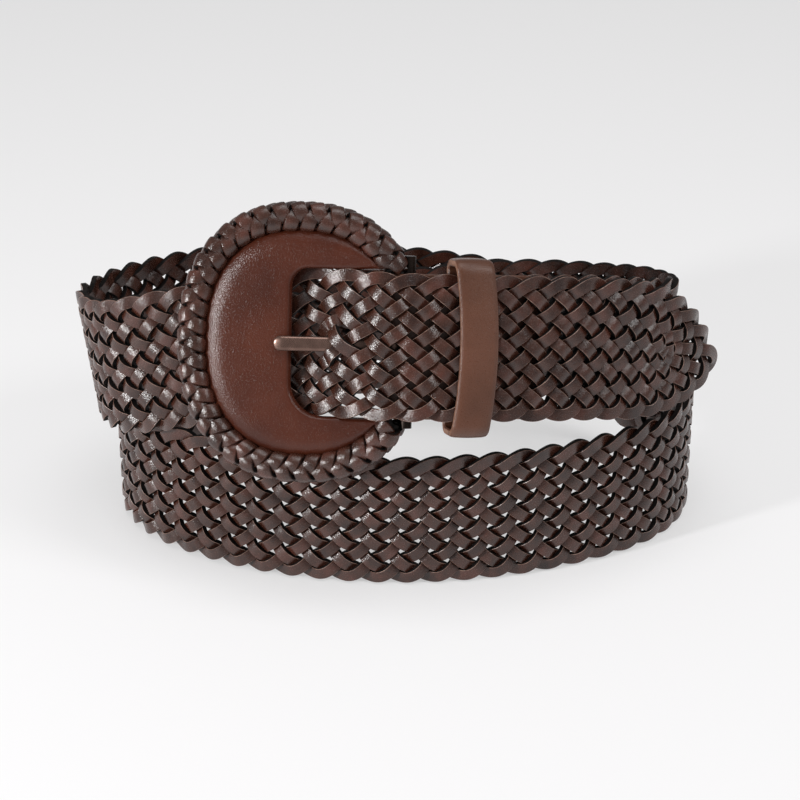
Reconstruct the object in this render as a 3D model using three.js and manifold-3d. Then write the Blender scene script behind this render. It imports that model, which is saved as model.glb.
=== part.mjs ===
import * as THREE from 'three';
import { mergeVertices } from 'three/addons/utils/BufferGeometryUtils.js';
import Module from 'manifold-3d';

// A wide braided leather belt, fastened and wound in two turns that stand on edge.
// Millimetres, +Z up, seen from -Y, with the origin under the middle of the coil.

const wasm = await Module();
wasm.setup();

// Sizes of the woven strap
const strapWidth = 50;
const strapThickness = 3.6;
const strapEdge = 0.9;
const tipLength = 31;
const sectionStep = 7.5;

// Sizes of the coil that the strap lies in
const coilHalfWidth = 105;
const coilHalfDepth = 62;

// Leather tab that folds round the buckle's bar and grips the woven end
const tabLength = 48;
const tabLeather = 1.4;
const tongueLength = 10;
const tongueThickness = 1;
const tongueTaper = 4;
const tongueEndGap = 1;
const layeredLength = 70;
const layerSpread = 1.6;

// Buckle: a leather-covered crescent plate, a laced rim, a bar and a prong
const buckleHalfWidth = 43.5;
const openingLength = 36.7;
const openingCorner = 6;
const openingSlack = 1.2;
const crescentWidth = 28;
const armWidth = 12.3;
const armEndGap = 7.5;
const plateThickness = 5;
const plateBack = 2;
const plateBevel = 1.4;
const rimWidth = 9;
const rimThickness = 9;
const rimRoundness = 2.3;
const barRadius = 2;
const barSeat = 3.6;
const prongWidth = 5;
const prongThickness = 2.8;
const prongOverlap = 6;

// Keeper loop
const keeperPlace = 24;
const keeperWidth = 15;
const keeperLeather = 2.5;
const keeperSlack = 1.8;
const keeperCorner = 4;

// Space between pieces that touch on the real belt
const clearance = 0.3;
const easyClearance = 0.5;

// The strap's centre line, from the right-hand end of the upper turn, down behind, round the
// lower turn, up behind and along the left to the buckle. Across is a share of coilHalfWidth,
// away of coilHalfDepth and rise of strapWidth. Lean is in degrees, top edge towards the inside.
const coilRows = [
  { across: 0.886, away: -0.226, rise: 1.42, lean: -5 },
  { across: 0.829, away: 0.371, rise: 1.2, lean: -3 },
  { across: 0.438, away: 0.742, rise: 1.08, lean: 2 },
  { across: 0, away: 0.839, rise: 0.94, lean: 2 },
  { across: -0.476, away: 0.742, rise: 0.76, lean: 2 },
  { across: -0.838, away: 0.484, rise: 0.6, lean: 1 },
  { across: -0.971, away: 0.048, rise: 0.5, lean: 0 },
  { across: -0.876, away: -0.403, rise: 0.5, lean: 0 },
  { across: -0.514, away: -0.823, rise: 0.5, lean: 0 },
  { across: 0, away: -0.984, rise: 0.5, lean: 0 },
  { across: 0.514, away: -0.823, rise: 0.5, lean: 0 },
  { across: 0.9, away: -0.419, rise: 0.5, lean: 0 },
  { across: 1.01, away: 0.113, rise: 0.5, lean: 0 },
  { across: 0.857, away: 0.629, rise: 0.7, lean: 0 },
  { across: 0.476, away: 0.903, rise: 0.94, lean: 2 },
  { across: 0, away: 1, rise: 1.06, lean: 1 },
  { across: -0.476, away: 0.919, rise: 1.14, lean: -1 },
  { across: -0.886, away: 0.581, rise: 1.16, lean: -5 },
  { across: -1.057, away: 0.048, rise: 1.24, lean: -8 },
  { across: -0.962, away: -0.468, rise: 1.38, lean: -2 },
  { across: -0.705, away: -0.774, rise: 1.62, lean: 8 },
  { across: -0.324, away: -0.935, rise: 1.84, lean: 17.5 },
];

// The rest of it, over the bar, through the keeper and out to the tip
const tipRows = [
  { across: 0.019, away: -1.15, rise: 1.94, lean: 20 },
  { across: 0.381, away: -1.056, rise: 1.85, lean: 17 },
  { across: 0.705, away: -0.815, rise: 1.71, lean: 11 },
  { across: 0.924, away: -0.532, rise: 1.54, lean: 8 },
  { across: 1.067, away: -0.258, rise: 1.39, lean: 6 },
];

const eyeRadius = barRadius + clearance + tabLeather;
const tabSlot = tongueThickness + 2 * clearance;
const tabThickness = tabSlot + 2 * tabLeather;
const tipOverBar = eyeRadius + clearance + strapThickness / 2;
const tipOverTab = tabThickness / 2 + easyClearance + strapThickness / 2;
const openingHalf = strapWidth / 2 + openingSlack;
const buckleHalfHeight = openingHalf + armWidth + clearance + rimWidth;
const buckleReach = openingLength + crescentWidth + clearance + rimWidth;
const buckleMiddle = buckleHalfWidth - buckleReach;
const prongReach = openingLength + prongOverlap;
const prongRise = plateThickness - plateBack + clearance + prongThickness / 2;

const up = new THREE.Vector3(0, 0, 1);

function rowPoint(row) {
  return new THREE.Vector3(
    row.across * coilHalfWidth,
    row.away * coilHalfDepth,
    row.rise * strapWidth,
  );
}

// A centre line with the lean of the strap along it
function route(points, leans) {
  const line = new THREE.CatmullRomCurve3(points);
  line.arcLengthDivisions = points.length * 60;
  const lean = new THREE.CatmullRomCurve3(
    leans.map((degrees) => new THREE.Vector3(degrees, 0, 0)),
    false,
    'catmullrom',
  );
  return { line, lean };
}

// Place and directions at a share t of a route: along it, outwards, and across the strap's width
function frameAt({ line, lean }, t) {
  const centre = line.getPoint(t);
  const along = line.getTangent(t);
  const outward = new THREE.Vector3(along.y, -along.x, 0).normalize();
  const angle = THREE.MathUtils.degToRad(lean.getPoint(t).x);
  const wide = up.clone().multiplyScalar(Math.cos(angle)).addScaledVector(outward, -Math.sin(angle));
  wide.addScaledVector(along, -wide.dot(along)).normalize();
  const out = new THREE.Vector3().crossVectors(along, wide);
  return { centre, along, wide, out };
}

// The same frame, moved outwards
function shifted(frame, distance) {
  return { ...frame, centre: frame.centre.clone().addScaledVector(frame.out, distance) };
}

// The same frame, lifted where its lower edge would dip under the floor
function onFloor(frame, halfWidth) {
  const dip = Math.min(0, frame.centre.z - halfWidth * frame.wide.z);
  return { ...frame, centre: frame.centre.clone().addScaledVector(up, -dip) };
}

function closedGeometry(vertices, faces) {
  const geometry = new THREE.BufferGeometry();
  geometry.setAttribute('position', new THREE.Float32BufferAttribute(vertices, 3));
  geometry.setIndex(faces);
  geometry.computeVertexNormals();
  return geometry;
}

// Joins rings of points, all with as many points, into one closed body
function loft(rings) {
  const sides = rings[0].length;
  const vertices = rings.flat().flatMap((point) => point.toArray());
  const faces = [];
  for (let ring = 0; ring + 1 < rings.length; ring++) {
    for (let side = 0; side < sides; side++) {
      const next = (side + 1) % sides;
      const a = ring * sides + side;
      const b = ring * sides + next;
      const c = a + sides;
      const d = b + sides;
      faces.push(a, b, d, a, d, c);
    }
  }
  const last = (rings.length - 1) * sides;
  for (let side = 1; side + 1 < sides; side++) {
    faces.push(0, side + 1, side);
    faces.push(last, last + side, last + side + 1);
  }
  return closedGeometry(vertices, faces);
}

// One section of a flat strap with chamfered edges
function strapSection({ centre, out, wide }, halfThickness, halfWidth, edge) {
  const flat = halfWidth - edge;
  const inner = halfThickness - edge;
  const corners = [
    [halfThickness, flat],
    [halfThickness, -flat],
    [inner, -halfWidth],
    [-inner, -halfWidth],
    [-halfThickness, -flat],
    [-halfThickness, flat],
    [-inner, halfWidth],
    [inner, halfWidth],
  ];
  return corners.map(([outwards, sideways]) =>
    centre.clone().addScaledVector(out, outwards).addScaledVector(wide, sideways),
  );
}

function toSolid(geometry) {
  const bare = geometry.clone();
  bare.deleteAttribute('normal');
  bare.deleteAttribute('uv');
  const merged = mergeVertices(bare, 1e-4);
  return new wasm.Manifold(
    new wasm.Mesh({
      numProp: 3,
      vertProperties: new Float32Array(merged.attributes.position.array),
      triVerts: new Uint32Array(merged.index.array),
    }),
  );
}

function toGeometry(solid) {
  const { vertProperties, triVerts } = solid.getMesh();
  return closedGeometry(Array.from(vertProperties), Array.from(triVerts));
}

// The buckle's own directions: x along the strap, y up the bar, z out of the plate
function placement({ centre, along, wide, out }) {
  return new THREE.Matrix4().makeBasis(along, wide, out).setPosition(centre);
}

// The route near the buckle, which the bar, the tab, the keeper and the strap's two ends share
const nearRows = [...coilRows.slice(-2), ...tipRows];
const nearRoute = route(nearRows.map(rowPoint), nearRows.map((row) => row.lean));
const nearLengths = nearRoute.line.getLengths();
const barShare = 2 / (nearRows.length - 1);
const barLength = nearLengths[Math.round(barShare * nearRoute.line.arcLengthDivisions)];

function nearShare(distance) {
  return nearRoute.line.getUtoTmapping(0, barLength + distance);
}

// A frame of the inner layer, at a distance from the bar towards the tip
function innerFrame(distance) {
  const settled = THREE.MathUtils.smoothstep(distance, 0, 3 * eyeRadius);
  const parted = THREE.MathUtils.smoothstep(distance, keeperPlace + keeperWidth, layeredLength);
  const depth = THREE.MathUtils.lerp(tipOverBar, tipOverTab, settled) + layerSpread * parted;
  return shifted(frameAt(nearRoute, nearShare(distance)), -depth);
}

const barFrame = innerFrame(0);
const toBuckle = placement(barFrame);

// The slot that the prong passes through, along the prong and as wide as it
function prongPassage() {
  const from = eyeRadius + strapThickness;
  const to = openingLength - strapThickness;
  const slope = prongRise / openingLength;
  const half = prongThickness / 2 + clearance;
  const outline = new THREE.Shape([
    new THREE.Vector2(-to, slope * to - half),
    new THREE.Vector2(0, -half),
    new THREE.Vector2(0, tipOverBar),
    new THREE.Vector2(-from, tipOverBar),
    new THREE.Vector2(-to, slope * to + half),
  ]);
  return sidewaysPrism(outline, prongWidth + 2 * clearance);
}

// A prism whose outline is drawn in the buckle's x and z, centred across the strap
function sidewaysPrism(outline, width) {
  const geometry = new THREE.ExtrudeGeometry(outline, { depth: width, bevelEnabled: false, curveSegments: 8 });
  geometry.rotateX(Math.PI / 2);
  geometry.translate(0, width / 2, 0);
  return geometry;
}

function strapGeometry() {
  const tongueStart = tabLength - tongueLength;
  const innerDistances = [];
  for (let distance = tongueStart; distance < layeredLength; distance += tongueLength) {
    innerDistances.push(distance);
  }
  const innerFrames = innerDistances.map(innerFrame);
  const innerLeans = innerDistances.map((distance) => nearRoute.lean.getPoint(nearShare(distance)).x);
  const outerRows = [...coilRows, ...tipRows];
  const whole = route(
    [...innerFrames.map((frame) => frame.centre), ...outerRows.map(rowPoint)],
    [...innerLeans, ...outerRows.map((row) => row.lean)],
  );
  const length = whole.line.getLength();
  const places = [0, tongueLength + clearance];
  const steps = Math.round((length - tipLength - tongueLength - tongueTaper) / sectionStep);
  for (let step = 0; step <= steps; step++) {
    places.push(THREE.MathUtils.lerp(tongueLength + tongueTaper, length - tipLength, step / steps));
  }
  const tipSteps = 8;
  for (let step = 1; step <= tipSteps; step++) {
    const angle = (Math.PI / 2) * (1 - step / (tipSteps + 0.6));
    places.push(length - tipLength * (1 - Math.cos(angle)));
  }
  const rings = places.map((place) => {
    const inTab = place <= tongueLength + clearance;
    const frame = inTab
      ? innerFrame(tongueStart + place)
      : frameAt(whole, whole.line.getUtoTmapping(0, place));
    const toTip = Math.min(1, (length - place) / tipLength);
    const halfWidth = (strapWidth / 2) * Math.sqrt(1 - (1 - toTip) ** 2);
    const thickness = inTab ? tongueThickness : strapThickness;
    const edge = Math.min(strapEdge, thickness / 4, halfWidth / 2);
    return strapSection(onFloor(frame, halfWidth), thickness / 2, halfWidth, edge);
  });
  const passage = prongPassage().applyMatrix4(toBuckle);
  return toGeometry(toSolid(loft(rings)).subtract(toSolid(passage)));
}

function cylinder(radius, length) {
  return new THREE.CylinderGeometry(radius, radius, length, 20);
}

function tabGeometry() {
  const bodyRings = [];
  const slotRings = [];
  const steps = 8;
  const slotStart = tabLength - tongueLength - tongueEndGap;
  for (let step = 0; step <= steps; step++) {
    const frame = innerFrame((tabLength * step) / steps);
    bodyRings.push(strapSection(frame, tabThickness / 2, strapWidth / 2, tabLeather / 3));
    const slotFrame = innerFrame(THREE.MathUtils.lerp(slotStart, tabLength + tabLeather, step / steps));
    slotRings.push(strapSection(slotFrame, tabSlot / 2, strapWidth / 2 + tabLeather, clearance / 3));
  }
  const eye = cylinder(eyeRadius, strapWidth).applyMatrix4(toBuckle);
  const bore = cylinder(barRadius + clearance, strapWidth + 2).applyMatrix4(toBuckle);
  const notchReach = eyeRadius + clearance;
  const notch = new THREE.BoxGeometry(2 * notchReach, prongWidth + 2 * clearance, 4 * eyeRadius);
  notch.applyMatrix4(toBuckle);
  const body = toSolid(loft(bodyRings)).add(toSolid(eye));
  const cuts = [loft(slotRings), bore, notch];
  return toGeometry(cuts.reduce((solid, cut) => solid.subtract(toSolid(cut)), body));
}

// A point of the buckle's round outline, inset from its outer edge
function rimPoint(angle, inset) {
  const power = 2 / rimRoundness;
  const x = Math.sign(Math.cos(angle)) * Math.abs(Math.cos(angle)) ** power;
  const y = Math.sign(Math.sin(angle)) * Math.abs(Math.sin(angle)) ** power;
  return new THREE.Vector2(
    buckleMiddle + (buckleHalfWidth - inset) * x,
    (buckleHalfHeight - inset) * y,
  );
}

// The angle at which the inset outline comes to a given x on the buckle's right
function rimAngle(x, inset) {
  const share = (x - buckleMiddle) / (buckleHalfWidth - inset);
  return Math.acos(share ** (rimRoundness / 2));
}

function plateGeometry() {
  const inset = rimWidth + clearance;
  const armEnd = -armEndGap;
  const start = rimAngle(armEnd, inset);
  const steps = 40;
  const outline = new THREE.Shape();
  for (let step = 0; step <= steps; step++) {
    const point = rimPoint(THREE.MathUtils.lerp(start, 2 * Math.PI - start, step / steps), inset);
    if (step === 0) {
      outline.moveTo(point.x, point.y);
    } else {
      outline.lineTo(point.x, point.y);
    }
  }
  const left = -openingLength + openingCorner;
  const tall = openingHalf - openingCorner;
  outline.lineTo(armEnd, -openingHalf);
  outline.absarc(left, -tall, openingCorner, -Math.PI / 2, -Math.PI, true);
  outline.absarc(left, tall, openingCorner, Math.PI, Math.PI / 2, true);
  outline.lineTo(armEnd, openingHalf);
  const geometry = new THREE.ExtrudeGeometry(outline, {
    depth: plateThickness - 2 * plateBevel,
    bevelThickness: plateBevel,
    bevelSize: plateBevel,
    bevelOffset: -plateBevel,
    bevelSegments: 2,
    curveSegments: 5,
  });
  geometry.translate(0, 0, plateBevel - plateBack);
  return geometry.applyMatrix4(toBuckle);
}

// The laced rim as one plain ring, open behind the tab, with seats for the bar in its ends
function rimGeometry() {
  const inset = rimWidth / 2;
  const endHeight = strapWidth / 2 + clearance;
  const start = rimAngle(-rimWidth / 4, inset);
  const steps = 28;
  const points = [new THREE.Vector3(0, endHeight, 0)];
  for (let step = 0; step <= steps; step++) {
    const point = rimPoint(THREE.MathUtils.lerp(start, 2 * Math.PI - start, step / steps), inset);
    points.push(new THREE.Vector3(point.x, point.y, 0));
  }
  points.push(new THREE.Vector3(0, -endHeight, 0));
  const path = new THREE.CatmullRomCurve3(points);
  const sections = 80;
  const sides = 10;
  const rings = [];
  for (let section = 0; section <= sections; section++) {
    const share = section / sections;
    const centre = path.getPointAt(share);
    const along = path.getTangentAt(share);
    if (section === 0) along.set(0, 1, 0);
    if (section === sections) along.set(0, 1, 0);
    const sideways = new THREE.Vector3(along.y, -along.x, 0);
    const ring = [];
    for (let side = 0; side < sides; side++) {
      const angle = (2 * Math.PI * (side + 0.5)) / sides;
      const point = centre.clone().addScaledVector(sideways, (Math.cos(angle) * rimWidth) / 2);
      point.z += (Math.sin(angle) * rimThickness) / 2;
      ring.push(point);
    }
    rings.push(ring.reverse());
  }
  const seats = cylinder(barRadius + clearance, strapWidth + 2 * (barSeat + clearance));
  return toGeometry(toSolid(loft(rings)).subtract(toSolid(seats))).applyMatrix4(toBuckle);
}

function barGeometry() {
  return cylinder(barRadius, strapWidth + 2 * barSeat).applyMatrix4(toBuckle);
}

// The prong: an eye round the bar and a flat finger with a round end, lying on the plate
function prongGeometry() {
  const half = prongThickness / 2;
  const slope = prongRise / openingLength;
  const outline = new THREE.Shape();
  outline.moveTo(0, -half);
  outline.lineTo(0, half);
  outline.lineTo(-openingLength, half + prongRise);
  outline.lineTo(-prongReach + half, half + prongRise);
  outline.absarc(-prongReach + half, prongRise, half, Math.PI / 2, 1.5 * Math.PI, false);
  outline.lineTo(-openingLength, -half + prongRise);
  const finger = sidewaysPrism(outline, prongWidth);
  const roundEnd = cylinder(prongWidth / 2, 4 * prongRise).rotateX(Math.PI / 2);
  roundEnd.translate(-prongReach + prongWidth / 2, 0, slope * prongReach);
  const middle = new THREE.BoxGeometry(prongReach - prongWidth / 2 + eyeRadius, prongWidth, 4 * prongRise);
  middle.translate((eyeRadius - prongReach + prongWidth / 2) / 2, 0, slope * prongReach);
  const eye = cylinder(eyeRadius, prongWidth);
  const bore = cylinder(barRadius + clearance, prongWidth + 2);
  const shaped = toSolid(finger).intersect(toSolid(middle).add(toSolid(roundEnd)));
  return toGeometry(shaped.add(toSolid(eye)).subtract(toSolid(bore))).applyMatrix4(toBuckle);
}

// The keeper: a leather loop round both layers of strap
function keeperGeometry() {
  const frame = frameAt(nearRoute, nearShare(keeperPlace));
  const back = -tipOverTab - tabThickness / 2;
  const front = strapThickness / 2;
  const middle = (front + back) / 2;
  const innerDeep = (front - back) / 2 + easyClearance;
  const innerTall = strapWidth / 2 + keeperSlack;
  const loop = roundedBlock(innerTall + keeperLeather, innerDeep + keeperLeather, keeperCorner, new THREE.Shape());
  loop.holes.push(roundedBlock(innerTall, innerDeep, keeperCorner - keeperLeather, new THREE.Path()));
  const geometry = new THREE.ExtrudeGeometry(loop, { depth: keeperWidth, bevelEnabled: false, curveSegments: 5 });
  geometry.translate(0, 0, -keeperWidth / 2);
  const { wide, out, along } = frame;
  const centre = shifted(frame, middle).centre;
  return geometry.applyMatrix4(new THREE.Matrix4().makeBasis(wide, out, along).setPosition(centre));
}

function roundedBlock(halfX, halfY, corner, path) {
  path.moveTo(halfX, corner - halfY);
  path.lineTo(halfX, halfY - corner);
  path.absarc(halfX - corner, halfY - corner, corner, 0, Math.PI / 2, false);
  path.absarc(corner - halfX, halfY - corner, corner, Math.PI / 2, Math.PI, false);
  path.absarc(corner - halfX, corner - halfY, corner, Math.PI, 1.5 * Math.PI, false);
  path.absarc(halfX - corner, corner - halfY, corner, 1.5 * Math.PI, 2 * Math.PI, false);
  return path;
}

const braidedLeather = { color: 0x64483f, roughness: 0.5, metalness: 0 };
const smoothLeather = { color: 0x643c32, roughness: 0.5, metalness: 0 };
const loopLeather = { color: 0x68483c, roughness: 0.5, metalness: 0 };
const rimLeather = { color: 0x5e4238, roughness: 0.55, metalness: 0 };
const bronzePaint = { color: 0x786258, roughness: 0.4, metalness: 0.6 };

const pieces = [
  ['strap', strapGeometry(), braidedLeather],
  ['buckle_tab', tabGeometry(), loopLeather],
  ['buckle_plate', plateGeometry(), smoothLeather],
  ['buckle_rim', rimGeometry(), rimLeather],
  ['buckle_bar', barGeometry(), bronzePaint],
  ['prong', prongGeometry(), bronzePaint],
  ['keeper', keeperGeometry(), loopLeather],
];

const group = new THREE.Group();
for (const [name, geometry, finish] of pieces) {
  const mesh = new THREE.Mesh(geometry, new THREE.MeshStandardMaterial(finish));
  mesh.name = name;
  group.add(mesh);
}

const box = new THREE.Box3().setFromObject(group);
const middle = box.getCenter(new THREE.Vector3());
group.position.set(-middle.x, -middle.y, -box.min.z);

export default group;
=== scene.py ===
import math

import bpy
import numpy as np
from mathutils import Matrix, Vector


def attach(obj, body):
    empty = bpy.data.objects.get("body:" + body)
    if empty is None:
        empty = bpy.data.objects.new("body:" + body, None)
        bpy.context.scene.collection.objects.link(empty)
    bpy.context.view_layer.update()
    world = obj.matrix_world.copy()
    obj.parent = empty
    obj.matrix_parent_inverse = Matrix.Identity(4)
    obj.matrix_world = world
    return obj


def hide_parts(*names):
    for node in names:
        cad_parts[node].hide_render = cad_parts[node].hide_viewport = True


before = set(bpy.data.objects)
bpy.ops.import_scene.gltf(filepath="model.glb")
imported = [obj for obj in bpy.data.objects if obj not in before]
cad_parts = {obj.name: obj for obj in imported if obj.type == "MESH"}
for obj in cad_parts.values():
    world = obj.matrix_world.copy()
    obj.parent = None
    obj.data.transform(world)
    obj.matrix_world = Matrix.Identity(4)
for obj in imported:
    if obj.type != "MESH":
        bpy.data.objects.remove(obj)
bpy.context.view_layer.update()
print("frame loaded:", sorted(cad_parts))

# Everything below is worked out in millimetres and turned into metres when a mesh is made
metre = 0.001
up = np.array([0.0, 0.0, 1.0])

# The coil: the strap's centre line from the right-hand end of the upper turn, down behind, round
# the lower turn and up to the buckle. Across, away and rise are shares of the three sizes,
# lean is in degrees with the top edge inwards
coil = {
    "halfWidth": 105,
    "halfDepth": 62,
    "strapWidth": 50,
    "moved": (1.337, 9.859, 0.001),
    "rows": [
        (0.886, -0.226, 1.42, -5), (0.829, 0.371, 1.2, -3), (0.438, 0.742, 1.08, 2),
        (0, 0.839, 0.94, 2), (-0.476, 0.742, 0.76, 2), (-0.838, 0.484, 0.6, 1),
        (-0.971, 0.048, 0.5, 0), (-0.876, -0.403, 0.5, 0), (-0.514, -0.823, 0.5, 0),
        (0, -0.984, 0.5, 0), (0.514, -0.823, 0.5, 0), (0.9, -0.419, 0.5, 0),
        (1.01, 0.113, 0.5, 0), (0.857, 0.629, 0.7, 0), (0.476, 0.903, 0.94, 2),
        (0, 1, 1.06, 1), (-0.476, 0.919, 1.14, -1), (-0.886, 0.581, 1.16, -5),
        (-1.057, 0.048, 1.24, -8), (-0.962, -0.468, 1.38, -2), (-0.705, -0.755, 1.61, 9),
        (-0.345, -0.905, 1.82, 19),
    ],
    "tipRows": [
        (-0.027, -1.15, 1.916, 20), (0.381, -1.056, 1.85, 17), (0.705, -0.815, 1.71, 11),
        (0.924, -0.532, 1.52, 8), (1.067, -0.258, 1.33, 6),
    ],
}

# How the buckle's pieces lie on each other, measured from the bar
buckle = {
    "tabLength": 52, "tongueLength": 10, "tabSlot": 1.6, "eyeRadius": 3.7,
    "overBar": 5.8, "overTab": 4.5, "layeredLength": 74, "layerSpread": 1.6,
    "keeperPlace": 26, "keeperWidth": 12.5,
    "halfWidth": 41.7, "halfHeight": 46.5, "middle": -31.2, "roundness": 2.3,
    "openingLength": 34.4, "openingCorner": 6,
    "rimWidth": 9, "clearance": 0.3, "prongRise": 4.7, "prongReach": 39.6,
}


def smooth(x, low, high):
    t = np.clip((np.asarray(x, float) - low) / (high - low), 0, 1)
    return t * t * (3 - 2 * t)


def squared(wave, roundness):  # between a circle's wave and a square's
    return np.sign(wave) * np.abs(wave) ** (2 / roundness)


def unit(vectors):
    return vectors / np.linalg.norm(vectors, axis=-1, keepdims=True)


def spline(points, t, centripetal=True):  # the same curve as the solids follow, and its slope
    points = np.asarray(points, float)
    place = np.clip(t, 0, 1) * (len(points) - 1)
    start = np.minimum(place.astype(int), len(points) - 2)
    w = (place - start)[:, None]
    ends = np.vstack([2 * points[0] - points[1], points, 2 * points[-1] - points[-2]])
    p0, p1, p2, p3 = (ends[start + step] for step in range(4))
    if centripetal:
        d0, d1, d2 = (
            np.sqrt(np.linalg.norm(b - a, axis=1, keepdims=True)) for a, b in ((p0, p1), (p1, p2), (p2, p3))
        )
        slopeStart = d1 * ((p1 - p0) / d0 - (p2 - p0) / (d0 + d1) + (p2 - p1) / d1)
        slopeEnd = d1 * ((p2 - p1) / d1 - (p3 - p1) / (d1 + d2) + (p3 - p2) / d2)
    else:
        slopeStart, slopeEnd = (p2 - p0) / 2, (p3 - p1) / 2
    c2 = 3 * (p2 - p1) - 2 * slopeStart - slopeEnd
    c3 = 2 * (p1 - p2) + slopeStart + slopeEnd
    return p1 + w * (slopeStart + w * (c2 + w * c3)), slopeStart + w * (2 * c2 + 3 * w * c3)


def makeRoute(points, leans):
    t = np.linspace(0, 1, len(points) * 150 + 1)
    line = spline(points, t)[0]
    steps = np.linalg.norm(np.diff(line, axis=0), axis=1)
    return {"points": points, "leans": leans, "t": t, "lengths": np.concatenate([[0], np.cumsum(steps)])}


def routeFrame(route, distance):  # centre, along, wide and out at each distance
    t = np.interp(distance, route["lengths"], route["t"])
    centre, along = spline(route["points"], t)
    along = unit(along)
    lean = np.radians(spline(route["leans"], t, centripetal=False)[0])
    outward = unit(np.column_stack([along[:, 1], -along[:, 0], np.zeros(len(t))]))
    wide = np.cos(lean) * up - np.sin(lean) * outward
    wide = unit(wide - along * np.sum(wide * along, axis=1, keepdims=True))
    return centre, along, wide, np.cross(along, wide)


coilScale = np.array([coil["halfWidth"], coil["halfDepth"], coil["strapWidth"]])
outerRows = np.array(coil["rows"] + coil["tipRows"], float)
outerPoints = outerRows[:, :3] * coilScale + coil["moved"]
outerLeans = outerRows[:, 3:]
nearCount = len(coil["tipRows"]) + 2
nearRoute = makeRoute(outerPoints[-nearCount:], outerLeans[-nearCount:])
barLength = float(np.interp(2 / (nearCount - 1), nearRoute["t"], nearRoute["lengths"]))


def innerFrame(distance):  # the layer under the strap's outer end, measured from the bar
    distance = np.asarray(distance, float)
    centre, along, wide, out = routeFrame(nearRoute, barLength + distance)
    settled = smooth(distance, 0, 3 * buckle["eyeRadius"])
    parted = smooth(distance, buckle["keeperPlace"] + buckle["keeperWidth"], buckle["layeredLength"])
    depth = buckle["overBar"] + (buckle["overTab"] - buckle["overBar"]) * settled + buckle["layerSpread"] * parted
    return centre - depth[:, None] * out, along, wide, out


tongueStart = buckle["tabLength"] - buckle["tongueLength"]
innerPlaces = np.arange(tongueStart, buckle["layeredLength"], buckle["tongueLength"], float)
innerT = np.interp(barLength + innerPlaces, nearRoute["lengths"], nearRoute["t"])
strapRoute = makeRoute(
    np.vstack([innerFrame(innerPlaces)[0], outerPoints]),
    np.vstack([spline(nearRoute["leans"], innerT, centripetal=False)[0], outerLeans]),
)
strapLength = float(strapRoute["lengths"][-1])
barCentre, barAlong, barWide, barOut = (part[0] for part in innerFrame([0.0]))
barAxes = np.array([barAlong, barWide, barOut])


def fromBuckle(points):  # buckle directions: x along the strap, y up the bar, z out of the plate
    return barCentre + np.asarray(points, float) @ barAxes


def toBuckle(points):
    return (points - barCentre) @ barAxes.T


def showPiece(name, mesh, replaced, finishes, sharpness):
    for finish in finishes:
        mesh.materials.append(finish)
    mesh.shade_smooth()
    mesh.set_sharp_from_angle(angle=math.radians(sharpness))
    piece = bpy.data.objects.new(name, mesh)
    bpy.context.scene.collection.objects.link(piece)
    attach(piece, "root")
    if replaced:
        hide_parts(replaced)
    return piece


# Joins sections into a skin. Each strip round the section may have a finish of its own
def skinMesh(name, rings, strips=None, looped=False):
    count, sides = rings.shape[:2]
    grid = np.arange(count * sides).reshape(count, sides)
    if looped:
        grid = np.vstack([grid, grid[:1]])
    here, there = grid[:-1], grid[1:]
    quads = np.stack([here, np.roll(here, -1, 1), np.roll(there, -1, 1), there], axis=-1)
    faces = quads.reshape(-1, 4).tolist()
    indexes = np.tile(strips if strips is not None else np.zeros(sides, int), len(here)).tolist()
    if not looped:
        faces += [list(range(sides))[::-1], list(range((count - 1) * sides, count * sides))]
        indexes += [indexes[0]] * 2
    mesh = bpy.data.meshes.new(name)
    mesh.from_pydata((rings.reshape(-1, 3) * metre).tolist(), [], faces)
    mesh.polygons.foreach_set("material_index", np.array(indexes, np.int32))
    mesh.update()
    return mesh


# Carries a flat section along a path. The section's y runs across the strip, its z away from the face
def sweep(path, normals, section, scale=None):
    along = unit(np.gradient(path, axis=0))
    normals = unit(normals - along * np.sum(normals * along, axis=1, keepdims=True))
    across = np.cross(normals, along)
    size = np.ones((len(path), 2)) if scale is None else scale
    y = section[None, :, 0] * size[:, :1]
    z = section[None, :, 1] * size[:, 1:]
    return path[:, None] + y[..., None] * across[:, None] + z[..., None] * normals[:, None]


def tone(red, green, blue):
    def linear(value):
        value /= 255
        return value / 12.92 if value <= 0.04045 else ((value + 0.055) / 1.055) ** 2.4

    return (linear(red), linear(green), linear(blue), 1)


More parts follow.
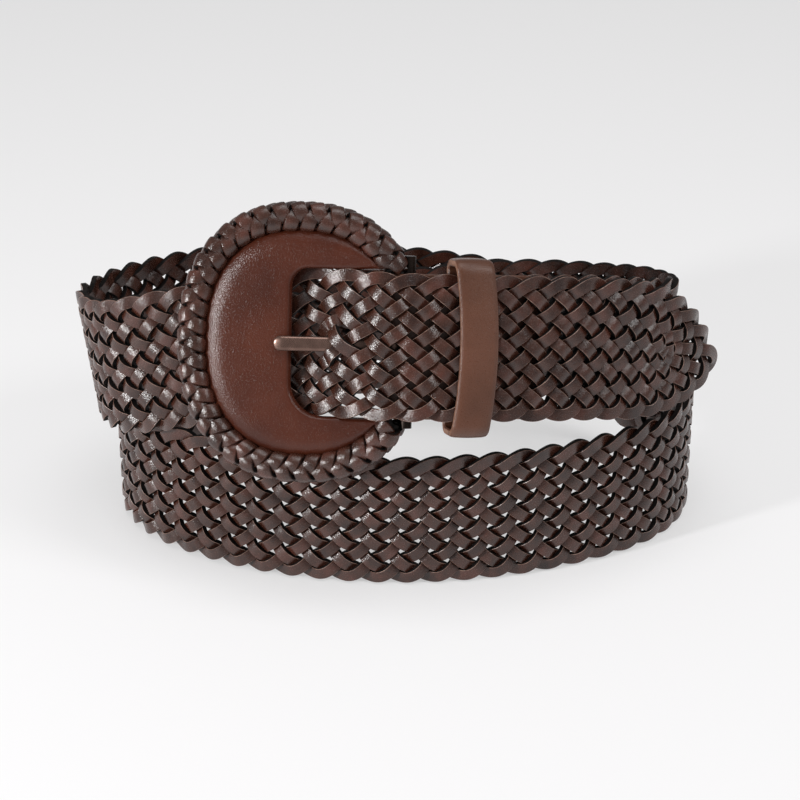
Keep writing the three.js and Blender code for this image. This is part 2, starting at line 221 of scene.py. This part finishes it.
# Leather: blotches of three tones, a fine grain in the bump and the gloss
def leather(name, look):
    material = bpy.data.materials.new(name)
    material.use_nodes = True
    nodes, links = material.node_tree.nodes, material.node_tree.links
    shader = nodes["Principled BSDF"]
    where = nodes.new("ShaderNodeTexCoord")

    def noise(scale, detail, roughness):
        node = nodes.new("ShaderNodeTexNoise")
        node.inputs["Scale"].default_value = scale
        node.inputs["Detail"].default_value = detail
        node.inputs["Roughness"].default_value = roughness
        links.new(where.outputs["Object"], node.inputs["Vector"])
        return node

    blotch = noise(look["blotch"], 3, 0.6)
    ramp = nodes.new("ShaderNodeValToRGB")
    ramp.color_ramp.elements[0].position, ramp.color_ramp.elements[0].color = 0.32, tone(*look["tones"][0])
    ramp.color_ramp.elements[1].position, ramp.color_ramp.elements[1].color = 0.68, tone(*look["tones"][2])
    ramp.color_ramp.elements.new(0.5).color = tone(*look["tones"][1])
    links.new(blotch.outputs["Fac"], ramp.inputs["Fac"])

    grain = noise(look["grain"], 2, 0.65)
    pores = nodes.new("ShaderNodeTexVoronoi")
    pores.inputs["Scale"].default_value = look["grain"] * 0.45
    links.new(where.outputs["Object"], pores.inputs["Vector"])
    relief = nodes.new("ShaderNodeMath")
    relief.operation = "MULTIPLY_ADD"
    links.new(pores.outputs["Distance"], relief.inputs[0])
    relief.inputs[1].default_value = look["pores"]
    links.new(grain.outputs["Fac"], relief.inputs[2])

    dusk = nodes.new("ShaderNodeMix")  # the grain's hollows are a little darker
    dusk.data_type, dusk.blend_type = "RGBA", "MULTIPLY"
    dusk.inputs["Factor"].default_value = look["hollows"]
    hollow = nodes.new("ShaderNodeValToRGB")
    hollow.color_ramp.elements[0].position, hollow.color_ramp.elements[0].color = 0.3, (0.35, 0.33, 0.32, 1)
    hollow.color_ramp.elements[1].position, hollow.color_ramp.elements[1].color = 0.6, (1, 1, 1, 1)
    links.new(grain.outputs["Fac"], hollow.inputs["Fac"])
    links.new(ramp.outputs["Color"], dusk.inputs["A"])
    links.new(hollow.outputs["Color"], dusk.inputs["B"])
    links.new(dusk.outputs["Result"], shader.inputs["Base Color"])

    gloss = nodes.new("ShaderNodeMapRange")
    gloss.inputs["From Min"].default_value, gloss.inputs["From Max"].default_value = 0.35, 0.65
    gloss.inputs["To Min"].default_value, gloss.inputs["To Max"].default_value = look["gloss"]
    links.new(grain.outputs["Fac"], gloss.inputs["Value"])
    links.new(gloss.outputs["Result"], shader.inputs["Roughness"])

    bump = nodes.new("ShaderNodeBump")
    bump.inputs["Strength"].default_value = look["bump"]
    bump.inputs["Distance"].default_value = look["depth"] * metre
    links.new(relief.outputs["Value"], bump.inputs["Height"])
    links.new(bump.outputs["Normal"], shader.inputs["Normal"])
    shader.inputs["Specular IOR Level"].default_value = look["specular"]
    return material


laceLook = {
    "tones": [(41, 21, 15), (60, 34, 25), (79, 45, 36)], "blotch": 120, "grain": 2600, "pores": 0.3,
    "hollows": 0.3, "gloss": (0.14, 0.3), "bump": 1.0, "depth": 0.1, "specular": 0.6,
}
laceFinish = leather("lace_leather", laceLook)
cutFinish = leather("lace_cut_side", {
    **laceLook, "tones": [(10, 8, 7), (17, 13, 12), (30, 23, 20)], "blotch": 900,
    "gloss": (0.7, 0.95), "specular": 0.2, "hollows": 0.7,
})
# A painted highlight: lighter leather laid along the top edges of every lace
edgeHighlightFinish = leather("lace_painted_highlight", {
    **laceLook, "tones": [(96, 70, 60), (128, 98, 86), (162, 132, 118)], "blotch": 420, "gloss": (0.22, 0.42),
})
plateFinish = leather("plate_skin", {
    **laceLook, "tones": [(62, 27, 16), (71, 32, 19), (78, 37, 23)], "blotch": 40, "grain": 2100,
    "gloss": (0.16, 0.28), "depth": 0.14, "pores": 0, "hollows": 0.15, "specular": 0.35,
})
loopFinish = leather("loop_skin", {
    **laceLook, "tones": [(80, 48, 33), (90, 55, 39), (98, 61, 45)], "blotch": 40, "grain": 3000,
    "gloss": (0.26, 0.4), "depth": 0.1, "hollows": 0.2, "specular": 0.45,
})
# A painted highlight: the keeper's cut edges are coloured lighter than its faces
keeperEdgeHighlightFinish = leather("loop_edge_highlight", {
    **laceLook, "tones": [(92, 62, 48), (122, 86, 68), (150, 112, 92)], "blotch": 500, "gloss": (0.4, 0.7),
    "specular": 0.4,
})
print("leathers ready")

# The strap: a plain weave of flat laces that turn back at both edges and round the tip
strapWeave = {
    "rows": 11,  # crossings over the width
    "columnStep": 5.25,  # half the distance between crossings along the strap
    "prongStretch": 0.95,  # how much longer a step is where the prong strains the weave
    "stretchReach": 26,
    "rowStep": 4.12,
    "wave": 1.3,  # how far a lace rises over the one it crosses
    "flatness": 0.8,
    "turnRound": 1.1,
    "ringsInStep": 8,
    "inTab": 0.27,  # how thin the weave is pressed inside the tab
    "standing": 24.4,  # from the strap's middle down to the edge it stands on
    "backWiden": 0.1,  # how much wider the laces lie behind, where the weave is tight
    "backFrom": (5, 35),
    "tipLength": 51,
    "tipOver": 2.6,
    "tipDrop": 2.2,
    "tipStretch": 0.02,  # how much longer a step is at the tip
    "tipReach": 42,
    "tipColumns": 14,  # how far back from the tip's hole the laces give way
}
flatLace = np.array([
    (1.88, -1.0), (2.0, -0.88), (2.02, 0.82), (1.9, 0.95), (0.9, 1.0),
    (-0.9, 1.0), (-1.9, 0.95), (-2.02, 0.82), (-2.0, -0.88), (-1.88, -1.0),
])
# Finishes round the lace section: 0 the faces, 1 the dark cut sides, 2 a painted highlight along the top edges
flatLaceStrips = np.array([1, 1, 2, 0, 0, 0, 2, 1, 1, 0])


# The next place a lace reaches. Beyond the hole in the tip the laces of one half turn round into the other
def nextCorner(column, row, run, rise, columns, rows):
    middle = (rows - 1) / 2
    pastHole = column - columns + middle + 1
    if run > 0 and rise * (row - middle) < 0 and pastHole == abs(row - middle) - 1:
        column, row, run = column, rows - 1 - row, -1
    else:
        column, row = column + run, row + rise
    return column, row, run, -rise if row in (-1, rows) else rise


def laceCorners(columns, rows):  # the crossings and turns each lace passes, to the tip and back
    laces, used = [], set()
    for start in range(0, rows, 2):
        for climb in (1, -1):
            if (start, climb) in used:
                continue
            corner = (0, start, 1, climb)
            corners = [corner[:2]]
            while corner[0] > 0 or len(corners) == 1:
                corner = nextCorner(*corner, columns, rows)
                corners.append(corner[:2])
            used |= {(start, climb), (corner[1], -corner[3])}
            laces.append(corners)
    return laces


def laceHeights(corners, rows, steps):  # 1 over, -1 under, at each step along the lace
    crossing, turns = [], []
    for index, (column, place) in enumerate(corners):
        if place in (-1, rows):
            continue
        before = corners[index - 1] if index else corners[index]
        after = corners[index + 1] if index + 1 < len(corners) else corners[index]
        rising = (after[0] - before[0]) * (after[1] - before[1]) > 0
        crossing.append(index)
        turns.append(rising == (column % 2 == 0))
    phase = np.interp(steps, crossing, np.pi * (np.arange(len(crossing)) + (0 if turns[0] else 1)))
    wave = np.cos(phase)
    flatness = strapWeave["flatness"]
    return np.tanh(flatness * wave) / np.tanh(flatness)


def soften(values, halfWidth):  # rounds the corners of a path, sampled 16 times a step
    size = int(round(halfWidth * 16))
    padded = np.concatenate([np.repeat(values[:1], size), values, np.repeat(values[-1:], size)])
    return np.convolve(padded, np.ones(2 * size + 1) / (2 * size + 1), mode="valid")


# Where the prong comes out through the strap, and how the laces part round it
prongOpening = {
    "fromTip": (185, 112),  # where the prong is looked for
    "hidden": 5.5,  # the laces over the prong hide where it rises through them
    "push": 1.75, "reach": 6.5, "spread": 0.022, "half": 1.4, "stack": 2.0,
    "across": (3.6, 9), "along": (26, 36), "ease": 2.6,
}
farthest, nearest = prongOpening["fromTip"]
nearBar = np.linspace(strapLength - farthest, strapLength - nearest, 400)
nearBarPlaces = toBuckle(routeFrame(strapRoute, nearBar)[0])
prongHeight = -nearBarPlaces[:, 0] * buckle["prongRise"] / buckle["openingLength"]
above = nearBarPlaces[:, 2] - prongHeight
prongHole = float(np.interp(0, above, nearBar)) - prongOpening["hidden"]
print("prong comes through", round(strapLength - prongHole, 1), "mm before the tip, at buckle x",
      round(float(np.interp(prongHole, nearBar, nearBarPlaces[:, 0])), 1))

weaveEdge = strapWeave["rowStep"] * (strapWeave["rows"] + 1) / 2
tipBefore = strapWeave["tipLength"] * np.linspace(0, 1, 300) ** 2
tipAcross = weaveEdge * (1 - (1 - tipBefore / strapWeave["tipLength"]) ** 1.7) ** 0.7
tipRun = np.concatenate([[0], np.cumsum(np.hypot(np.diff(tipBefore), np.diff(tipAcross)))])
weaveEnd = strapLength + strapWeave["tipOver"] + tipRun[-1] - strapWeave["tipLength"]


def columnPlaces(step):  # from the tip back to the start, closer where nothing strains the weave
    places = [weaveEnd]
    while places[-1] > 0:
        strain = math.exp(-(((places[-1] - prongHole) / strapWeave["stretchReach"]) ** 2))
        looser = strapWeave["tipStretch"] * math.exp(-(((weaveEnd - places[-1]) / strapWeave["tipReach"]) ** 2))
        places.append(places[-1] - step * (1 + looser) - strapWeave["prongStretch"] * strain)
    return np.array(places)


columnStep = strapWeave["columnStep"]
for _ in range(8):  # settles the step so that the prong meets a hole of the weave
    places = columnPlaces(columnStep)
    toHole = float(np.interp(-prongHole, -places, np.arange(len(places))))
    columnStep *= toHole / (2 * round(toHole / 2))
places = columnPlaces(columnStep)
places = places[: len(places) - 1 + len(places) % 2][::-1]
columns = len(places) - 1


def edgeSpot(column, side):  # where a lace turns at the edge, round the tip too
    run = weaveEnd - places[column]
    if run > tipRun[-1]:
        return np.array([places[column], side * weaveEdge])
    before = np.interp(run, tipRun, tipBefore)
    drop = strapWeave["tipDrop"] * (1 - before / strapWeave["tipLength"]) ** 2
    end = strapLength + strapWeave["tipOver"]
    return np.array([end - before, side * np.interp(run, tipRun, tipAcross) - drop])


def weaveSpots(columns, rows):  # along and across the strap of each crossing and turn
    middle = (rows - 1) / 2
    hole = columns - middle - 1
    spots, loose = {}, {}
    for column in range(columns):
        for row in range(-1, rows + 1):
            if (column + row) % 2 or column - hole > abs(row - middle) - 1:
                continue
            if row in (-1, rows):
                spots[column, row] = edgeSpot(column, np.sign(row - middle))
                continue
            spots[column, row] = np.array([places[column], strapWeave["rowStep"] * (row - middle)])
            if column > hole - strapWeave["tipColumns"]:
                ways = ((1, 1), (1, -1), (-1, 1), (-1, -1))
                loose[column, row] = [nextCorner(column, row, *way, columns, rows)[:2] for way in ways]
    for _ in range(400):  # each crossing settles between its four neighbours
        for spot, around in loose.items():
            spots[spot] = sum(spots[other] for other in around) / 4
    return spots


spots = weaveSpots(columns, strapWeave["rows"])


def strapLace(corners):
    weave, opening = strapWeave, prongOpening
    fine = np.arange(0, (len(corners) - 1) * 16 + 1) / 16
    route = np.array([spots[corner] for corner in corners])
    steps = np.linspace(0, len(corners) - 1, (len(corners) - 1) * weave["ringsInStep"] + 1)
    along, across = (
        np.interp(steps, fine, soften(np.interp(fine, np.arange(len(corners)), part), weave["turnRound"]))
        for part in route.T
    )
    height = laceHeights(corners, weave["rows"], steps) * weave["wave"]
    past = along - prongHole  # the laces part round the prong, over it on one side and under on the other
    spread = np.abs(across) / weave["rowStep"]
    across = across * (1 + opening["spread"] * np.exp(-((past / weave["stretchReach"]) ** 2)))
    across = across + np.sign(across) * opening["push"] * spread * np.exp(1 - spread) * np.exp(
        -((past / opening["reach"]) ** 2)
    )
    centre, _, wide, out = routeFrame(strapRoute, along)
    place = toBuckle(centre + across[:, None] * wide)
    prongMiddle = np.clip(-place[:, 0], 0, None) * buckle["prongRise"] / buckle["openingLength"]
    room = opening["half"] + opening["stack"]
    lift = np.where(
        past > 0,
        np.maximum(0, prongMiddle + room - place[:, 2]),
        -np.maximum(0, place[:, 2] - prongMiddle + room),
    )
    nearProng = 1 - smooth(np.abs(across), *opening["across"])
    nearProng *= 1 - smooth(np.abs(past), *opening["along"])
    height = height + lift * nearProng * np.tanh(np.abs(past) / opening["ease"])
    inTab = weave["inTab"] + (1 - weave["inTab"]) * smooth(along, buckle["tongueLength"], buckle["tongueLength"] + 5)
    path = centre + across[:, None] * wide + (height * inTab)[:, None] * out
    dip = np.minimum(0, centre[:, 2] - weave["standing"] * wide[:, 2])
    path[:, 2] -= dip
    closer = 1 + weave["backWiden"] * smooth(centre[:, 1], *weave["backFrom"])
    return sweep(path, out, flatLace, np.column_stack([closer, inTab]))


laces = laceCorners(columns, strapWeave["rows"])
for number, corners in enumerate(laces, 1):
    rings = strapLace(corners)
    mesh = skinMesh(f"strap_lace_{number}", rings, flatLaceStrips)
    showPiece(mesh.name, mesh, "strap", [laceFinish, cutFinish, edgeHighlightFinish], 38)
print("strap woven:", len(laces), "laces,", columns, "columns of", round(columnStep, 2), "mm")

# The buckle's rim: four laces braided round a cord
rimWeave = {
    "lump": 6.1,  # from one lump of a row to the next
    "radius": 3.4,
    "wave": 1.15,
    "core": 3.0,
    "ringsInLump": 22,
    "firstRow": 135,  # degrees round the rim, of the row that leans one way
}
rimLace = np.array([
    (2.2, -0.9), (2.34, -0.75), (2.38, 0.3), (2.1, 0.72), (1.2, 0.95), (0, 1.0),
    (-1.2, 0.95), (-2.1, 0.72), (-2.38, 0.3), (-2.34, -0.75), (-2.2, -0.9), (0, -0.8),
])
rimLaceStrips = np.array([1, 1, 0, 0, 0, 0, 0, 0, 1, 1, 0, 0])


def rimPoint(angle, inset):
    x, y = (squared(wave, buckle["roundness"]) for wave in (np.cos(angle), np.sin(angle)))
    halfWidth, halfHeight = buckle["halfWidth"] - inset, buckle["halfHeight"] - inset
    return np.column_stack([buckle["middle"] + halfWidth * x, halfHeight * y, np.zeros(len(x))])


def rimAngle(x, inset):
    share = (x - buckle["middle"]) / (buckle["halfWidth"] - inset)
    return math.acos(share ** (buckle["roundness"] / 2))


rimStart = rimAngle(-buckle["rimWidth"] / 4, buckle["rimWidth"] / 2)
rimEnd = coil["strapWidth"] / 2 + buckle["clearance"]
rimPoints = np.vstack([
    [[0, rimEnd, 0]],
    rimPoint(np.linspace(rimStart, 2 * np.pi - rimStart, 29), buckle["rimWidth"] / 2),
    [[0, -rimEnd, 0]],
])
rimT = np.linspace(0, 1, 4001)
rimLine = spline(rimPoints, rimT)[0]
rimRun = np.concatenate([[0], np.cumsum(np.linalg.norm(np.diff(rimLine, axis=0), axis=1))])
rimLumps = round(rimRun[-1] / rimWeave["lump"])
rimPlaces = np.linspace(0, rimRun[-1], rimLumps * rimWeave["ringsInLump"] + 1)
rimPath, rimAlong = spline(rimPoints, np.interp(rimPlaces, rimRun, rimT))
rimAlong = unit(rimAlong)
rimSide = np.column_stack([rimAlong[:, 1], -rimAlong[:, 0], np.zeros(len(rimPath))])
rimTurn = np.pi * rimPlaces * rimLumps / rimRun[-1]


def rimRound(angle, radius):
    spoke = np.cos(angle)[:, None] * rimSide + np.sin(angle)[:, None] * up
    return rimPath + spoke * np.asarray(radius)[..., None], spoke


offset = 2 * math.radians(rimWeave["firstRow"])
for number, (way, half) in enumerate(((1, 0), (1, 1), (-1, 0), (-1, 1)), 1):
    angle = way * rimTurn + np.pi * half + (0 if way > 0 else offset)
    radius = rimWeave["radius"] + way * rimWeave["wave"] * np.cos(2 * rimTurn - offset)
    path, spoke = rimRound(angle, radius)
    rings = sweep(fromBuckle(path), spoke @ barAxes, rimLace)
    mesh = skinMesh(f"rim_lace_{number}", rings, rimLaceStrips)
    showPiece(mesh.name, mesh, "buckle_rim", [laceFinish, cutFinish, edgeHighlightFinish], 40)
coreRound = np.linspace(0, 2 * np.pi, 13)[:-1]
coreSection = rimWeave["core"] * np.column_stack([np.cos(coreRound), np.sin(coreRound)])
core = sweep(fromBuckle(rimPath[::6]), np.tile(barOut, (len(rimPath[::6]), 1)), coreSection)
showPiece("rim_core", skinMesh("rim_core", core), "buckle_rim", [cutFinish], 60)
print("rim braided:", rimLumps, "lumps")

# The buckle's plate: leather drawn over a crescent, crowned and tucked under the rim
plateForm = {
    "front": 3.3, "back": 2.0, "crown": 0.15, "outerRoll": 8, "innerRoll": 1.6, "outerDrop": 3.6, "innerDrop": 2.2,
    "tuck": 1.0, "armEndWidth": 1.4, "openingHalf": 24.9, "lowerHalf": 24.2, "lowerCorner": 11, "stations": 200,
}


def evenly(points, count):
    run = np.concatenate([[0], np.cumsum(np.linalg.norm(np.diff(points, axis=0), axis=1))])
    places = np.linspace(0, run[-1], count)
    return np.column_stack([np.interp(places, run, points[:, axis]) for axis in range(points.shape[1])])


def openingEdge(armEnd):
    turn = np.linspace(np.pi / 2, np.pi, 16)
    quarter = np.column_stack([np.cos(turn), np.sin(turn)])
    halves = []
    corners = (buckle["openingCorner"], plateForm["openingHalf"]), (plateForm["lowerCorner"], plateForm["lowerHalf"])
    for corner, half in corners:
        middle = (corner - buckle["openingLength"], half - corner)
        halves.append(np.vstack([[(armEnd, half)], corner * quarter + middle]))
    return np.vstack([halves[0], halves[1][::-1] * (1, -1)])


def rolledDown(distance, roll, drop):  # how far the skin falls near an edge
    near = 1 - np.clip(distance / roll, 0, 1)
    return drop * (1 - np.sqrt(1 - near**2))


def plateRings():
    form = plateForm
    inset = buckle["rimWidth"] + buckle["clearance"] - form["tuck"]
    endHeight = (form["openingHalf"] + form["armEndWidth"]) / (buckle["halfHeight"] - inset)
    start = math.asin(endHeight ** (buckle["roundness"] / 2))
    outer = rimPoint(np.linspace(start, 2 * np.pi - start, 800), inset)[:, :2]
    inner = evenly(openingEdge(outer[0, 0]), form["stations"])
    outer = evenly(outer, form["stations"])
    half = np.linalg.norm(outer - inner, axis=1) / 2
    front = np.linspace(-1, 1, 41)
    front = np.sign(front) * (1 - (1 - np.abs(front)) ** 1.5)
    behind = np.linspace(1, -1, 9)[1:-1]
    rings = []
    for number in range(form["stations"]):
        fromOuter, fromInner = (1 + front) * half[number], (1 - front) * half[number]
        outerRoll, innerRoll = (min(form[key], half[number]) for key in ("outerRoll", "innerRoll"))
        height = form["front"] - form["crown"] * np.abs(front) ** 2
        fall = rolledDown(fromOuter, outerRoll, form["outerDrop"])
        height -= fall + rolledDown(fromInner, innerRoll, form["innerDrop"])
        x = np.concatenate([front, behind])
        z = np.concatenate([height, -form["back"] * (1 - np.abs(behind) ** 6)])
        middle, reach = (outer[number] + inner[number]) / 2, (inner[number] - outer[number]) / 2
        rings.append(np.column_stack([middle + x[:, None] * reach, z]))
    return np.array(rings)


plateMesh = skinMesh("plate_cover", fromBuckle(plateRings())[:, ::-1])
showPiece("plate_cover", plateMesh, "buckle_plate", [plateFinish], 50)
print("plate covered")

# The keeper: one strip of leather closed into a loop, cut edges left bare and painted lighter as a highlight
keeperForm = {
    "leather": 2.5, "corner": 2.75, "halfTall": 28.05, "halfDeep": 6.0, "middle": -2.45, "bevel": 0.45,
    "crown": 0.3, "bow": 2.2,
}


def keeperPiece():
    form = keeperForm
    halfWidth, halfThick = buckle["keeperWidth"] / 2, form["leather"] / 2
    corners = []
    for turn, x, y in ((0, 1, 1), (90, -1, 1), (180, -1, -1), (270, 1, -1)):
        angle = np.radians(np.linspace(turn, turn + 90, 9))
        middle = np.array([x * (form["halfTall"] - form["corner"]), y * (form["halfDeep"] - form["corner"])])
        corners.append(middle + form["corner"] * np.column_stack([np.cos(angle), np.sin(angle)]))
    loop = np.vstack(corners)
    loop = evenly(np.vstack([loop, loop[:1]]), 161)[:-1]
    ahead = unit(np.roll(loop, -1, 0) - np.roll(loop, 1, 0))
    away = np.column_stack([ahead[:, 1], -ahead[:, 0]])
    bevel, crown = form["bevel"], form["crown"]
    section = [(-halfWidth + bevel, halfThick - 0.1)]
    section += [(y * halfWidth, halfThick + crown * (1 - y * y)) for y in (-0.75, -0.4, 0, 0.4, 0.75)]
    section += [(halfWidth - bevel, halfThick - 0.1), (halfWidth, halfThick - bevel), (halfWidth, bevel - halfThick)]
    section += [(halfWidth - bevel, -halfThick), (bevel - halfWidth, -halfThick)]
    section += [(-halfWidth, bevel - halfThick), (-halfWidth, halfThick - bevel)]
    # Strip 1 is the two side edges, which carry the painted highlight
    strips = np.array([0, 0, 0, 0, 0, 0, 0, 1, 0, 0, 0, 1, 0])
    centre, along, wide, out = (part[0] for part in routeFrame(nearRoute, [barLength + buckle["keeperPlace"]]))
    centre = centre + form["middle"] * out
    rings = []
    for (tall, deep), (awayTall, awayDeep) in zip(loop, away):
        bow = form["bow"] * (1 - (tall / form["halfTall"]) ** 2) * (0.5 + deep / form["halfDeep"] / 2)
        middle = centre + tall * wide + (deep + bow * 0.3) * out + bow * along
        normal = awayTall * wide + awayDeep * out
        rings.append([middle + y * along + z * normal for y, z in section])
    mesh = skinMesh("keeper_loop", np.array(rings), strips, looped=True)
    return showPiece("keeper_loop", mesh, "keeper", [loopFinish, keeperEdgeHighlightFinish], 40)


keeperPiece()
print("keeper closed")

# The tab: a strip of leather folded round the bar, its two ends holding the strap between them
tabForm = {
    "leather": 1.4, "halfWidth": 24, "bevel": 0.3, "notch": ((-6, 5), (-2.9, 2.9), (-6, 6)), "stations": 60,
}


def tabPath():
    leather = tabForm["leather"]
    run = np.linspace(buckle["tabLength"], 0, tabForm["stations"])
    apart = (buckle["tabSlot"] + leather) / 2
    eye = buckle["eyeRadius"] - leather / 2
    lift = apart + (eye - apart) * (1 - smooth(run, 0, 14))
    centre, along, _, out = innerFrame(run)
    front, back = centre + lift[:, None] * out, centre - lift[:, None] * out
    angle = np.linspace(np.pi / 2, 1.5 * np.pi, 17)[1:-1]
    fold = barCentre + eye * (np.cos(angle)[:, None] * barAlong + np.sin(angle)[:, None] * barOut)
    path = np.vstack([front, fold, back[::-1]])
    foldOut = np.cos(angle)[:, None] * barAlong + np.sin(angle)[:, None] * barOut
    return path, np.vstack([out, foldOut, -out[::-1]])


def tabPiece():
    form = tabForm
    path, normals = tabPath()
    half, thick, bevel = form["halfWidth"], form["leather"] / 2, form["bevel"]
    section = np.array([
        (half - bevel, -thick), (half, bevel - thick), (half, thick - bevel), (half - bevel, thick),
        (bevel - half, thick), (-half, thick - bevel), (-half, bevel - thick), (bevel - half, -thick),
    ])
    strips = np.array([0, 1, 0, 0, 0, 1, 0, 0])
    mesh = skinMesh("tab_fold", sweep(path, normals, section), strips)
    piece = showPiece("tab_fold", mesh, "buckle_tab", [loopFinish, cutFinish], 40)
    alongNotch, acrossNotch, throughNotch = form["notch"]
    corners = np.array([(x, y, z) for x in alongNotch for y in acrossNotch for z in throughNotch], float)
    cutter = bpy.data.meshes.new("notch")
    faces = [(0, 1, 3, 2), (4, 6, 7, 5), (0, 4, 5, 1), (2, 3, 7, 6), (0, 2, 6, 4), (1, 5, 7, 3)]
    cutter.from_pydata((fromBuckle(corners) * metre).tolist(), [], faces)
    tool = bpy.data.objects.new("notch", cutter)
    bpy.context.scene.collection.objects.link(tool)
    cut = piece.modifiers.new("notch", "BOOLEAN")
    cut.operation, cut.object, cut.solver = "DIFFERENCE", tool, "EXACT"
    cutMesh = bpy.data.meshes.new_from_object(piece.evaluated_get(bpy.context.evaluated_depsgraph_get()))
    piece.modifiers.clear()
    piece.data = cutMesh
    bpy.data.objects.remove(tool)
    return piece


tabPiece()
print("tab folded")

# The prong: a flat bronze finger with softened edges and an eye round the bar
prongForm = {
    "halfWidth": 2.5, "halfThick": 1.4, "roundness": 3.4, "start": 2.4, "endLength": 3, "endRound": 2.6,
    "eyeInner": 2.3, "eyeOuter": 3.7, "eyeBevel": (0.3, 0.2),
}


def prongRings():
    form = prongForm
    reach, rise, opening = buckle["prongReach"], buckle["prongRise"], buckle["openingLength"]
    nearEnd = reach - form["endLength"] * (1 - np.sin(np.linspace(0.1, 1.5, 12)))
    x = -np.concatenate([np.linspace(form["start"], reach - form["endLength"], 40), nearEnd])
    z = rise * np.minimum(-x / opening, 1)
    z = np.convolve(np.pad(z, 3, mode="edge"), np.ones(7) / 7, mode="valid")
    toEnd = np.clip((reach + x) / form["endRound"], 0, 1)
    width = form["halfWidth"] * np.sqrt(np.clip(1 - (1 - toEnd) ** 3, 0.02, 1))
    thick = form["halfThick"] * (0.55 + 0.45 * np.sqrt(toEnd))
    angle = np.linspace(0, 2 * np.pi, 25)[:-1]
    sideways, upwards = (squared(wave, form["roundness"]) for wave in (np.cos(angle), np.sin(angle)))
    rings = np.zeros((len(x), len(angle), 3))
    rings[..., 0] = x[:, None]
    rings[..., 1] = -width[:, None] * sideways
    rings[..., 2] = z[:, None] + thick[:, None] * upwards
    return rings


def prongEyeRings():
    inner, outer, half = prongForm["eyeInner"], prongForm["eyeOuter"], prongForm["halfWidth"]
    side, edge = prongForm["eyeBevel"]
    section = [
        (half, inner + edge), (half - side, inner), (side - half, inner), (-half, inner + edge),
        (-half, outer - edge), (side - half, outer), (half - side, outer), (half, outer - edge),
    ]
    angle = np.linspace(0, 2 * np.pi, 41)[:-1]
    return np.array([[(r * np.cos(turn), y, r * np.sin(turn)) for y, r in section] for turn in angle])


def bronze(name, tones):
    material = leather(name, {
        **laceLook, "tones": tones, "blotch": 190, "grain": 3200, "pores": 0.1, "hollows": 0.0,
        "gloss": (0.24, 0.3), "bump": 0.12, "depth": 0.02, "specular": 0.5,
    })
    material.node_tree.nodes["Principled BSDF"].inputs["Metallic"].default_value = 0.75
    return material


prongFinish = bronze("prong_bronze", [(98, 76, 68), (112, 88, 79), (128, 102, 92)])
prongMesh = skinMesh("prong_finger", fromBuckle(prongRings())[:, ::-1])
showPiece("prong_finger", prongMesh, "prong", [prongFinish], 40)
eyeMesh = skinMesh("prong_eye", fromBuckle(prongEyeRings()), looped=True)
showPiece("prong_eye", eyeMesh, "prong", [prongFinish], 40)
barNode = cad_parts["buckle_bar"]
barNode.data.materials.clear()
barNode.data.materials.append(bronze("bar_bronze", [(24, 18, 15), (34, 26, 22), (46, 36, 31)]))
print("metal in place")

# Studio: pale floor, a small key low on the left, a fill from the upper right, a wide light above and the sky
studio = {
    "floor": (182, 181, 182), "glow": 0.46, "sky": 0.3,
    "key": {"place": (-0.9, -0.6, 0.34), "size": 0.11, "power": 9.5},
    "fill": {"place": (0.75, -0.5, 0.85), "size": 0.4, "power": 4.2},
    "rear": {"place": (0.0, -0.2, 1.3), "size": 0.8, "power": 5.5},
    "aim": (0.0, -0.02, 0.05),
    "lens": 100.08, "cameraPlace": (0.001337, -0.72617, 0.40070), "cameraAim": (0.001337, -0.007141, 0.05),
}


def softLight(name, light):
    data = bpy.data.lights.new(name, "AREA")
    data.shape, data.size, data.energy = "DISK", light["size"], light["power"]
    lamp = bpy.data.objects.new(name, data)
    lamp.location = light["place"]
    lamp.rotation_euler = (Vector(studio["aim"]) - lamp.location).to_track_quat("-Z", "Y").to_euler()
    bpy.context.scene.collection.objects.link(lamp)


for lightName in ("key", "fill", "rear"):
    softLight(lightName, studio[lightName])

world = bpy.data.worlds.new("sky")
bpy.context.scene.world = world
world.use_nodes = True
world.node_tree.nodes["Background"].inputs["Color"].default_value = (1, 1, 1, 1)
world.node_tree.nodes["Background"].inputs["Strength"].default_value = studio["sky"]

floorMesh = bpy.data.meshes.new("floor")
floorMesh.from_pydata([(-6, -6, 0), (6, -6, 0), (6, 6, 0), (-6, 6, 0)], [], [(0, 1, 2, 3)])
floor = bpy.data.objects.new("floor", floorMesh)
bpy.context.scene.collection.objects.link(floor)
floorFinish = bpy.data.materials.new("floor_paper")
floorFinish.use_nodes = True
floorShader = floorFinish.node_tree.nodes["Principled BSDF"]
floorShader.inputs["Base Color"].default_value = tone(*studio["floor"])
floorShader.inputs["Roughness"].default_value = 0.75
floorShader.inputs["Emission Color"].default_value = (1, 1, 1, 1)
floorShader.inputs["Emission Strength"].default_value = studio["glow"]
floorMesh.materials.append(floorFinish)

camera = bpy.data.objects.new("camera", bpy.data.cameras.new("camera"))
bpy.context.scene.collection.objects.link(camera)
camera.data.lens, camera.data.sensor_width = studio["lens"], 36
camera.location = studio["cameraPlace"]
camera.rotation_euler = (Vector(studio["cameraAim"]) - camera.location).to_track_quat("-Z", "Y").to_euler()
bpy.context.scene.camera = camera
bpy.context.scene.view_settings.view_transform = "Standard"
print("studio lit")
